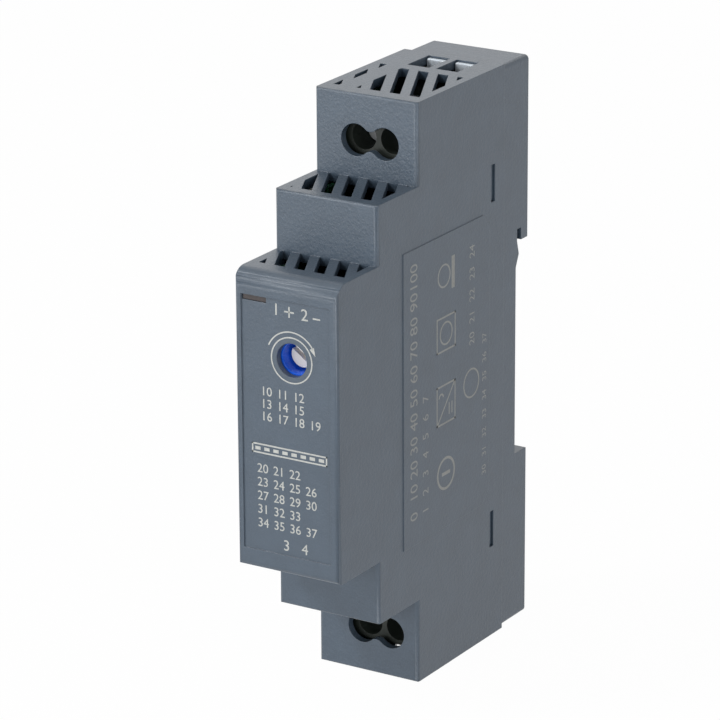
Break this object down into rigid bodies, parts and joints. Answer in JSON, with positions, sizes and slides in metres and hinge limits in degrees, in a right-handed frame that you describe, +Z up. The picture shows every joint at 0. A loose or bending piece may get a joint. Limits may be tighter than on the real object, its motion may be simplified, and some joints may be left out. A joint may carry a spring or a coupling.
{
  "type": "din rail power supply",
  "caption": "Slim stepped power supply that snaps onto a 35 mm mounting rail, with screw clamp terminals above and below, a voltage trimmer and a status lamp.",
  "frame": {"origin": "centre of the case's footprint, on the surface it stands on", "axes": "+Z up along the case's height, -Y towards the front label, +Y towards the mounting rail, X along the rail"},
  "size_m": [0.0176, 0.0544, 0.09],
  "materials": {
    "case": "fine spark-eroded texture",
    "latch": "fine texture",
    "spring_steel": "bright drawn wire",
    "lamp_window": "tinted translucent",
    "board": "solder mask",
    "solder": "bright solder",
    "insulation": "polyester film",
    "terminal_body": "moulded",
    "brass": "tinned brass",
    "screw": "zinc plated",
    "clamp": "galvanised",
    "trimmer_blue": "moulded",
    "trimmer_white": "moulded",
    "lamp": "diffused epoxy",
    "fuse": "moulded",
    "thermistor": "lacquered",
    "film_yellow": "moulded",
    "ferrite": "ground ferrite",
    "copper": "enamelled copper",
    "black_plastic": "moulded epoxy",
    "sleeve": "shrink sleeve",
    "tape": "polyester tape",
    "disc_blue": "lacquered",
    "aluminium": "sheet",
    "resistor": "lacquered"
  },
  "bodies": {
    "case": {"front_cover": "case", "rear_base": "case", "latch_spring": "spring_steel", "lamp_window": "lamp_window", "main_board": "board", "solder_joints": "solder", "insulation_sheet": "insulation", "output_terminal_block": "terminal_body", "input_terminal_block": "terminal_body", "output_contacts": "brass", "input_contacts": "brass", "trimmer_body": "trimmer_blue", "status_lamp": "lamp", "input_fuse": "fuse", "inrush_thermistor": "thermistor", "filter_capacitor": "film_yellow", "line_choke_core": "ferrite", "line_choke_windings": "copper", "line_choke_base": "black_plastic", "bridge_rectifier": "black_plastic", "bulk_capacitor_low": "sleeve", "bulk_capacitor_high": "sleeve", "transformer_core": "ferrite", "transformer_bobbin": "black_plastic", "transformer_windings": "tape", "controller_chip": "black_plastic", "optical_isolator": "black_plastic", "safety_capacitor": "disc_blue", "output_rectifier": "black_plastic", "heat_spreader": "aluminium", "output_capacitor_high": "sleeve", "output_capacitor_low": "sleeve", "output_choke_core": "ferrite", "output_choke_winding": "copper", "snubber_resistor": "resistor", "surface_mount_parts": "black_plastic"},
    "rail_latch": {"rail_latch": "latch"},
    "trimmer_rotor": {"trimmer_rotor": "trimmer_white"},
    "output_screw_plus": {"output_screw_plus": "screw"},
    "output_clamp_plus": {"output_clamp_plus": "clamp"},
    "output_screw_minus": {"output_screw_minus": "screw"},
    "output_clamp_minus": {"output_clamp_minus": "clamp"},
    "input_screw_neutral": {"input_screw_neutral": "screw"},
    "input_clamp_neutral": {"input_clamp_neutral": "clamp"},
    "input_screw_live": {"input_screw_live": "screw"},
    "input_clamp_live": {"input_clamp_live": "clamp"}
  },
  "joints": [
    {"name": "latch_slide", "type": "slide", "parent": "case", "child": "rail_latch", "axis": [0, 0, -1], "range_m": [0, 0.0036], "stiffness_N_per_m": 600, "deforming": ["latch_spring"]},
    {"name": "trimmer_turn", "type": "hinge", "parent": "case", "child": "trimmer_rotor", "pos_m": [0.0008, -0.02225, 0.056], "axis": [0, 1, 0], "range_deg": [-105, 105]},
    {"name": "output_plus_screw_turn", "type": "hinge", "parent": "case", "child": "output_screw_plus", "pos_m": [-0.0018, 0.00275, 0.083], "axis": [0, 1, 0], "range_deg": [0, 3600]},
    {"name": "output_plus_clamp_slide", "type": "slide", "parent": "case", "child": "output_clamp_plus", "axis": [0, -1, 0], "range_m": [0, 0.0045]},
    {"name": "output_minus_screw_turn", "type": "hinge", "parent": "case", "child": "output_screw_minus", "pos_m": [0.0031, 0.00275, 0.083], "axis": [0, 1, 0], "range_deg": [0, 3600]},
    {"name": "output_minus_clamp_slide", "type": "slide", "parent": "case", "child": "output_clamp_minus", "axis": [0, -1, 0], "range_m": [0, 0.0045]},
    {"name": "input_neutral_screw_turn", "type": "hinge", "parent": "case", "child": "input_screw_neutral", "pos_m": [-0.0011, 0.00275, 0.007], "axis": [0, 1, 0], "range_deg": [0, 3600]},
    {"name": "input_neutral_clamp_slide", "type": "slide", "parent": "case", "child": "input_clamp_neutral", "axis": [0, -1, 0], "range_m": [0, 0.0045]},
    {"name": "input_live_screw_turn", "type": "hinge", "parent": "case", "child": "input_screw_live", "pos_m": [0.0038, 0.00275, 0.007], "axis": [0, 1, 0], "range_deg": [0, 3600]},
    {"name": "input_live_clamp_slide", "type": "slide", "parent": "case", "child": "input_clamp_live", "axis": [0, -1, 0], "range_m": [0, 0.0045]}
  ],
  "couplings": [
    {"joint": "output_plus_screw_turn", "follows": "output_plus_clamp_slide", "rad_per_m": 13963},
    {"joint": "output_minus_screw_turn", "follows": "output_minus_clamp_slide", "rad_per_m": 13963},
    {"joint": "input_neutral_screw_turn", "follows": "input_neutral_clamp_slide", "rad_per_m": 13963},
    {"joint": "input_live_screw_turn", "follows": "input_live_clamp_slide", "rad_per_m": 13963}
  ]
}
